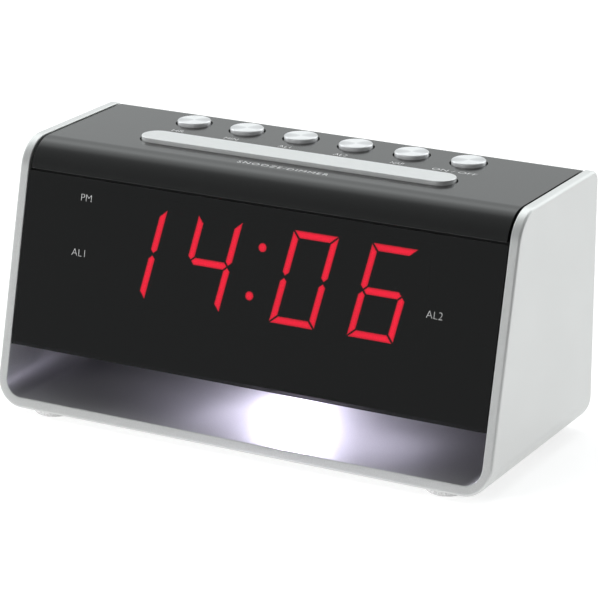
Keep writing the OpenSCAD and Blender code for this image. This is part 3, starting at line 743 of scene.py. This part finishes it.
def cover_sheet():
    """The cover's bent sheet, from the seam over the window to the lip above the rear cover."""
    def trim(points):
        front = [p for p in points if p.x < 0 and p.y > seam_z + 1e-6][::-1]
        rear = [p for p in points if p.x >= 0 and p.y > rear_lip_z + 1e-6][::-1]
        low = points[0].x + (seam_z - points[0].y) * math.tan(lean)
        return [Vector((low, seam_z))] + front + rear + [Vector((rear[-1].x, rear_lip_z))]

    ring = trim(side_outline(cover_sink, 18)) + trim(side_outline(cover_sink + cover_t, 18))[::-1]
    rows = [[Vector((x, p.x, p.y)) for p in ring] for x in (-COVER_HALF, COVER_HALF)]
    return loft("cover_sheet", rows)


cover = bevel(cover_sheet(), 0.15 * MM, 3, 50)
key_low, key_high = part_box("hour_button")
bar_low, bar_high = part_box("snooze_bar")
bar_mid = (bar_low + bar_high) / 2
BAR_L, BAR_W = 119.6 * MM, 10.9 * MM
KEY_R = 5.9 * MM
KEY_GAP = 0.6 * MM
key_mid = {}
for key in KEYS:
    low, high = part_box(f"{key}_button")
    key_mid[key] = Vector(((low.x + high.x) / 2, (low.y + high.y) / 2, 0))

# The holes' wall as (outset, height) pairs, with a slightly broken rim
hole_wall = [(0, cover_under - PAST)]
hole_wall += [(i, cover_top - d) for i, d in quarter(0.05 * MM, 4)]
hole_wall.append((hole_wall[-1][0], cover_top + PAST))
cutters = []
for mid in key_mid.values():
    profile = [(KEY_R + KEY_GAP + o, z) for o, z in hole_wall]
    profile = [(0, profile[0][1])] + profile + [(0, profile[-1][1])]
    cutters.append(lathe("key_hole", profile, mid))
rings = []
for o, z in hole_wall:
    grown = 2 * (KEY_GAP + o)
    rings.append(stadium(BAR_L + grown, BAR_W + grown, z, bar_mid))
cutters.append(loft("bar_hole", rings))
cut(cover, *cutters)
place(cover, "cabinet", "dark_cover", "top_cover")


# ---- Keys ----
STEM_R, STEM_REACH = 2 * MM, 40 * MM
FLANGE = 1.3 * MM
flange_top = cover_under - 0.3 * MM
flange_low = flange_top - 1 * MM


def key_cap(name, mid, high):
    """A turned metal cap: a barely dished top, a rounded edge and a plain side."""
    r = KEY_R
    profile = [
        (0, key_low.z), (STEM_R, key_low.z), (STEM_R, flange_low),
        (r + FLANGE, flange_low), (r + FLANGE, flange_top), (r, flange_top),
    ]
    profile += [(r - i, high - d) for i, d in quarter(0.5 * MM, 5)]
    profile += [(r - 0.9 * MM, high - 0.03 * MM), (r * 0.3, high - 0.06 * MM), (0, high - 0.06 * MM)]
    cap = lathe(name, profile, Vector((0, 0, 0)), sides=128, smooth=25)
    cap.location = mid
    return cap


for key, mid in key_mid.items():
    cap = key_cap(f"{key}_cap", mid, key_high.z)
    place(cap, f"{key}_key", "key_metal", f"{key}_button")


def bar_cap():
    """The long snooze bar with softly rounded edges, its flange and its two stems."""
    side = [(FLANGE, flange_low), (FLANGE, flange_top), (0, flange_top)]
    side += [(-i, bar_high.z - d) for i, d in quarter(0.2 * MM, 5)]
    top = loft("snooze_cap", [stadium(BAR_L + 2 * o, BAR_W + 2 * o, z, bar_mid) for o, z in side])
    profile = [(0, key_low.z), (STEM_R, key_low.z), (STEM_R, flange_low), (0, flange_low)]
    stems = [
        lathe("stem", profile, Vector((x, bar_mid.y, 0)), sides=32) for x in (-STEM_REACH, STEM_REACH)
    ]
    return join("snooze_cap", top, *stems)


place(bar_cap(), "snooze_key", "bar_metal", "snooze_bar")


# ---- Window ----
window = block(
    "window_pane",
    (window_low.x, WINDOW_LOW, -WINDOW_SINK - WINDOW_T),
    (window_high.x, WINDOW_HIGH, -WINDOW_SINK),
    on_face(),
)
bevel(window, 0.1 * MM, 3)
place(window, "cabinet", "tinted_window", "display_window")


# ---- Lit digits ----
DIGIT_W, DIGIT_H, STROKE, BAR_GAP = 16.9 * MM, 31.7 * MM, 2.4 * MM, 0.4 * MM
DISPLAY_X, DISPLAY_MID, SLANT = 0.8 * MM, 60.7 * MM, math.tan(math.radians(10))
SEGMENT_TOP = -2.4 * MM
DIGIT_PITCH, COLON_HALF, COLON_RISE, DOT_R = 29.2 * MM, 18.15 * MM, 8.35 * MM, 1.5 * MM
DIGIT_X = [
    DISPLAY_X + side * (COLON_HALF + n * DIGIT_PITCH)
    for side, n in ((-1, 1), (-1, 0), (1, 0), (1, 1))
]
DIGITS = ("bc", "bcfg", "abcdef", "acdefg")


def digit_bar(bar, grow):
    """The corners of one bar of a digit: the seven bars are a to g, clockwise from the top."""
    x, y, s, g = DIGIT_W / 2 + grow, DIGIT_H / 2 + grow, STROKE + 2 * grow, BAR_GAP - grow
    m = s / 2
    top = [(-x + g, y), (-x + s + g, y - s), (x - s - g, y - s), (x - g, y)]
    upper = [(x, y - g), (x - s, y - s - g), (x - s, m + g), (x - m, g), (x, m + g)]
    middle = [
        (-x + m + g, 0), (-x + s + g, -m), (x - s - g, -m),
        (x - m - g, 0), (x - s - g, m), (-x + s + g, m),
    ]
    shape, across, over = {
        "a": (top, 1, 1), "b": (upper, 1, 1), "c": (upper, 1, -1), "d": (top, 1, -1),
        "e": (upper, -1, -1), "f": (upper, -1, 1), "g": (middle, 1, 1),
    }[bar]
    return [(px * across + py * over * SLANT, py * over) for px, py in shape]


def lit_bars():
    """Every lit bar and dot as a shallow diffuser, brighter along its middle than at its rim."""
    bm = bmesh.new()
    glow = bm.verts.layers.float_color.new("glow")
    face = on_face(DISPLAY_MID, SEGMENT_TOP)
    steps = [(0, -1.5 * MM, 0.5), (0, -0.02 * MM, 0.5), (-0.35 * MM, 0, 0.8), (-0.75 * MM, 0, 1.0)]
    shapes = [
        [[(x + px, py) for px, py in digit_bar(bar, grow)] for grow, _, _ in steps]
        for x, bars in zip(DIGIT_X, DIGITS) for bar in bars
    ]
    for y in (-COLON_RISE, COLON_RISE):
        x = DISPLAY_X + y * SLANT
        shapes.append([[(x + p.x, y + p.y) for p in disc(0, 0, DOT_R + grow)] for grow, _, _ in steps])
    for shape in shapes:
        rows = []
        for ring, (_, z, tone) in zip(shape, steps):
            row = [bm.verts.new(face @ Vector((px, py, z))) for px, py in ring]
            for v in row:
                v[glow] = (tone, tone, tone, 1)
            rows.append(row)
        for a, b in zip(rows, rows[1:]):
            bridge(bm, a, b)
        bm.faces.new(rows[0][::-1])
        bm.faces.new(rows[-1])
    return finish_mesh("lit_bars", bm)


place(lit_bars(), "cabinet", "segment_red", "lit_segments")


# ---- Rear cover ----
SPEAKER_X, SPEAKER_Z = 50 * MM, 52 * MM
GRILLE_R, GRILLE_PITCH, GRILLE_HOLE_R = 22 * MM, 4.4 * MM, 1.3 * MM
VENT_X, VENT_PITCH, VENT_W, VENT_LOW, VENT_HIGH = 66 * MM, 7 * MM, 2.4 * MM, 68 * MM, 80 * MM
OPENING_R = 3.2 * MM
REAR_SCREWS = [(-84, 17), (84, 17), (-84, 76), (84, 76)]


def rear_panel():
    """The rear cover: grille, vent slots, and openings for the inlet, the aerial and four screws."""
    inner, outer = rear_low.y, rear_high.y
    place_rear = Matrix(((-1, 0, 0, 0), (0, 0, 1, inner), (0, 1, 0, 0), (0, 0, 0, 1)))
    radii = [6.4 * MM, 6.4 * MM, 0.6 * MM, 0.6 * MM]
    outline = soft_box(rear_low.x, rear_low.z, rear_high.x, rear_high.z, radii, 10)
    holes = []
    for row in range(-5, 6):
        for col in range(-6, 7):
            x = (col + (0.5 if row % 2 else 0)) * GRILLE_PITCH
            z = row * GRILLE_PITCH * math.sin(math.radians(60))
            if math.hypot(x, z) < GRILLE_R:
                holes.append(disc(-SPEAKER_X - x, SPEAKER_Z + z, GRILLE_HOLE_R, 20))
    for x, z in REAR_SCREWS:
        holes.append(disc(-x * MM, z * MM, OPENING_R))
    low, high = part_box("dc_inlet")
    gap = 0.3 * MM
    inlet_low = low.z - 0.1 * MM
    holes.append(soft_box(-high.x - gap, inlet_low, -low.x + gap, high.z + gap, [0.3 * MM] * 4, 3))
    low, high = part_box("aerial_grommet")
    holes.append(disc(-(low.x + high.x) / 2, (low.z + high.z) / 2, OPENING_R))
    for i in range(8):
        x = VENT_X - i * VENT_PITCH
        holes.append(soft_box(x - VENT_W, VENT_LOW, x, VENT_HIGH, [0.5 * MM] * 4, 3))
    panel = plate("rear_panel", outline, holes, outer - inner, 0.4 * MM, 0.25 * MM, place_rear)
    rim, deep = OPENING_R + 0.01 * MM, 1.2 * MM
    profile = [(BORE_R, 0), (rim, 0), (rim, deep), (BORE_R, deep), (BORE_R, 0)]
    seats = [
        lathe("seat", profile, Vector((x * MM, inner, z * MM)), Vector((0, 1, 0)), 32)
        for x, z in REAR_SCREWS
    ]
    return join("rear_panel", panel, *seats)


place(rear_panel(), "cabinet", "black_cover", "rear_cover")


# ---- Battery door ----
def door_panel():
    """The door in the underside: a flat panel with finger grooves, and stiffening ribs inside."""
    low, high = door_low, door_high
    mid_y = (low.y + high.y) / 2
    thick, rib_t, margin = 2 * MM, 1.2 * MM, 3 * MM
    groove_w, groove_deep, half_l = 0.5 * MM, 0.5 * MM, 5 * MM
    panel = bevel(block("door_panel", low, (high.x, high.y, low.z + thick)), 0.3 * MM)
    grooves = []
    for i in range(5):
        x = high.x + (i * 1.1 - 6) * MM
        start = (x, mid_y - half_l, low.z - PAST)
        end = (x + groove_w, mid_y + half_l, low.z + groove_deep)
        grooves.append(block("groove", start, end))
    cut(panel, *grooves)
    ribs = []
    for y in (low.y + margin, mid_y - rib_t / 2, high.y - margin - rib_t):
        start = (low.x + margin, y, low.z + thick / 2)
        end = (high.x - margin, y + rib_t, high.z)
        ribs.append(bevel(block("rib", start, end), 0.2 * MM))
    return join("door_panel", panel, *ribs)


place(door_panel(), "door", "silver_frame", "battery_door")


# ---- Printed legends ----
CAPITAL_SHARE = 0.69  # how much of the font's size a capital letter takes up
INK = 0.012 * MM
WINDOW_CAPITAL, COVER_CAPITAL = 2.6 * MM, 2.2 * MM


def legend(name, words, height, matrix, stretch=1.0, spacing=1.0, thinning=0.018):
    """Printed words whose capitals are `height` tall, centred on the matrix's origin."""
    curve = bpy.data.curves.new(name, "FONT")
    curve.body = words
    curve.align_x, curve.align_y = "CENTER", "CENTER"
    curve.size = height / CAPITAL_SHARE
    curve.space_character = spacing
    curve.extrude = 0.01 * MM
    curve.offset = -thinning * curve.size
    curve.resolution_u = 4
    obj = add_object(name, curve)
    obj.matrix_world = matrix @ Matrix.Diagonal((stretch, 1, 1, 1))
    mesh = bpy.data.meshes.new_from_object(obj.evaluated_get(bpy.context.evaluated_depsgraph_get()))
    mesh.transform(obj.matrix_world)
    bpy.data.objects.remove(obj)
    bpy.data.curves.remove(curve)
    return add_object(name, mesh)


def on_window(x, up):
    """The frame of a legend on the window's face."""
    return on_face(up, INK - WINDOW_SINK) @ Matrix.Translation((x, 0, 0))


def on_top(x, y):
    """The frame of a legend on the cover's flat top."""
    return Matrix.Translation((x, y, cover_top + INK))


WINDOW_WORDS = (
    ("label_pm", "PM", -66.9, 76),
    ("label_al1", "AL1", -67.5, 57),
    ("label_al2", "AL2", 68.3, 56.5),
)
for name, words, x, up in WINDOW_WORDS:
    text = legend(name, words, WINDOW_CAPITAL, on_window(x * MM, up * MM), thinning=0.028)
    place(text, "cabinet", "tinted_window", look=LABEL_GREY)
KEY_WORDS = (("HR", 1.2), ("MIN", 1.0), ("AL1", 1.0), ("AL2", 1.0), ("NAP", 0.8), ("ON / OFF", 1.25))
for key, (words, stretch) in zip(KEYS, KEY_WORDS):
    at = on_top(key_mid[key].x + 0.3 * MM, key_mid[key].y - 11.8 * MM)
    text = legend(f"label_{key}", words, COVER_CAPITAL, at, stretch)
    place(text, "cabinet", "dark_cover", look=LABEL_WHITE)
at = on_top(1.6 * MM, -8.2 * MM)
text = legend("label_snooze", "SNOOZE/DIMMER", COVER_CAPITAL, at, stretch=1.22, spacing=1.16)
place(text, "cabinet", "dark_cover", look=LABEL_WHITE)


# ---- Stage: floor, light and camera ----
def pale_floor():
    """Matt white paper that glows a little, as if lit all round."""
    m = Build("pale_floor", Roughness=0.9, Emission_Color=(1, 1, 1, 1), Emission_Strength=0.62)
    m.blend(m.noise(60 * MM, 2), (0.48, 0.48, 0.48), (0.5, 0.5, 0.5))
    return m.mat


bm = bmesh.new()
bmesh.ops.create_grid(bm, x_segments=1, y_segments=1, size=3)
floor = finish_mesh("floor", bm)
floor.data.materials.append(pale_floor())
floor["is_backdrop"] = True

world = bpy.data.worlds.new("studio")
bpy.context.scene.world = world
world.use_nodes = True
sky = world.node_tree
facing = sky.nodes.new("ShaderNodeVectorMath")
facing.operation = "DOT_PRODUCT"
facing.inputs[1].default_value = Vector((-0.48, 0.88, 0)).normalized()
sky.links.new(sky.nodes.new("ShaderNodeTexCoord").outputs["Generated"], facing.inputs[0])
shade = sky.nodes.new("ShaderNodeMapRange")
shade.inputs["From Min"].default_value = -1
sky.links.new(facing.outputs["Value"], shade.inputs["Value"])
band = sky.nodes.new("ShaderNodeValToRGB")
sky.links.new(shade.outputs["Result"], band.inputs["Fac"])
sky.links.new(band.outputs["Color"], sky.nodes["Background"].inputs["Color"])
# The sky's brightness from the front right, 0, to the rear left, 1
SKY = (
    (0.0, 0.27), (0.25, 0.3), (0.48, 0.45), (0.59, 0.6), (0.65, 1.3),
    (0.72, 1.75), (0.81, 2.6), (0.88, 1.6), (0.93, 1.1), (0.99, 0.92),
)
brightest = max(level for _, level in SKY)
sky.nodes["Background"].inputs["Strength"].default_value = brightest
stops = band.color_ramp.elements
for _ in SKY[2:]:
    stops.new(0.5)
for stop, (at, level) in zip(stops, SKY):
    stop.position = at
    share = level / brightest
    stop.color = (share * 0.965, share, share, 1)


def lamp(name, at, aim, width, height, power):
    """A soft box that no glossy or clear surface shows."""
    data = bpy.data.lights.new(name, "AREA")
    data.shape, data.size, data.size_y = "RECTANGLE", width, height
    data.energy = power
    obj = add_object(name, data)
    obj.location = at
    obj.rotation_mode = "QUATERNION"
    obj.rotation_quaternion = (Vector(aim) - Vector(at)).to_track_quat("-Z", "Y")
    obj.visible_glossy = obj.visible_transmission = False
    return obj


lamp("side_light", (1.0, -0.1, 0.9), (0, 0, 0.04), 0.7, 0.7, 0.6)
lamp("top_light", (0, -0.2, 1.5), (0, 0, 0), 1.2, 1.2, 5.5)
lamp("front_light", (-0.75, -1.2, 0.4), (0, 0, 0.04), 0.6, 0.6, 18)


def fading_black():
    """Matt black cloth that thins out to nothing towards the middle of the front."""
    m = Build("card_black", Roughness=0.9)
    m.blend(m.noise(2 * MM), (0.009, 0.009, 0.009), (0.011, 0.011, 0.011))
    split = m.node("ShaderNodeSeparateXYZ")
    m.link(m.where, split.inputs["Vector"])
    m.spread(split.outputs["X"], 0.0, 1.0, "Alpha", (0.02, 0.25))
    return m.mat


# A curved dark card in front, from the middle round to the right, for the glossy parts to show
CARD_R, CARD_RISE = 0.5, Vector((0, 0, 0.3))
CARD_TURNS = [math.radians(a) for a in range(2, 81, 6)]
bm = bmesh.new()
ring = [Vector((CARD_R * math.sin(a), -CARD_R * math.cos(a), 0.002)) for a in CARD_TURNS]
for a, b in zip(ring, ring[1:]):
    bm.faces.new([bm.verts.new(p) for p in (a, b, b + CARD_RISE, a + CARD_RISE)])
card = finish_mesh("dark_card", bm)
card.data.materials.append(fading_black())
card.visible_camera = card.visible_diffuse = card.visible_shadow = card.visible_transmission = False
card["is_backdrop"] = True

# The night light: a wide beam down from the lens, and the softer glow in front of it
lens_low, lens_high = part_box("night_light_lens")
beam_from = Vector((0, (lens_low.y + lens_high.y) / 2, lens_low.z - 0.5 * MM))
spot = bpy.data.lights.new("night_light", "SPOT")
spot.energy, spot.color = 0.22, (0.83, 0.78, 1.0)
spot.spot_size, spot.spot_blend, spot.shadow_soft_size = math.radians(174), 0.15, 2 * MM
add_object("night_light", spot).location = beam_from
haze_from = beam_from + Vector((18 * MM, -22 * MM, 0))
haze = lamp("night_light_haze", haze_from, haze_from - Vector((0, 0, 1)), 80 * MM, 24 * MM, 0.055)
haze.data.color = spot.color
haze.visible_camera = False

# The camera: a long lens from the front right, a little above the top
AZIMUTH, ELEVATION, CAMERA_FAR = math.radians(28.66), math.radians(18.53), 1031.6 * MM
right = Vector((math.cos(AZIMUTH), math.sin(AZIMUTH), 0))
up = Matrix.Rotation(AZIMUTH, 3, "Z") @ Vector((0, math.sin(ELEVATION), math.cos(ELEVATION)))
back = right.cross(up)
target = Vector((0, 1.22, 49.7)) * MM + right * 2.73 * MM - up * 6.33 * MM
camera = add_object("camera", bpy.data.cameras.new("camera"))
camera.data.sensor_width = 36
camera.data.lens = 181.3
camera.location = target + back * CAMERA_FAR
camera.rotation_mode = "QUATERNION"
camera.rotation_quaternion = (-back).to_track_quat("-Z", "Y")
camera.data.clip_start, camera.data.clip_end = 0.05, 20
bpy.context.scene.camera = camera
bpy.context.scene.view_settings.view_transform = "Standard"

low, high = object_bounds()
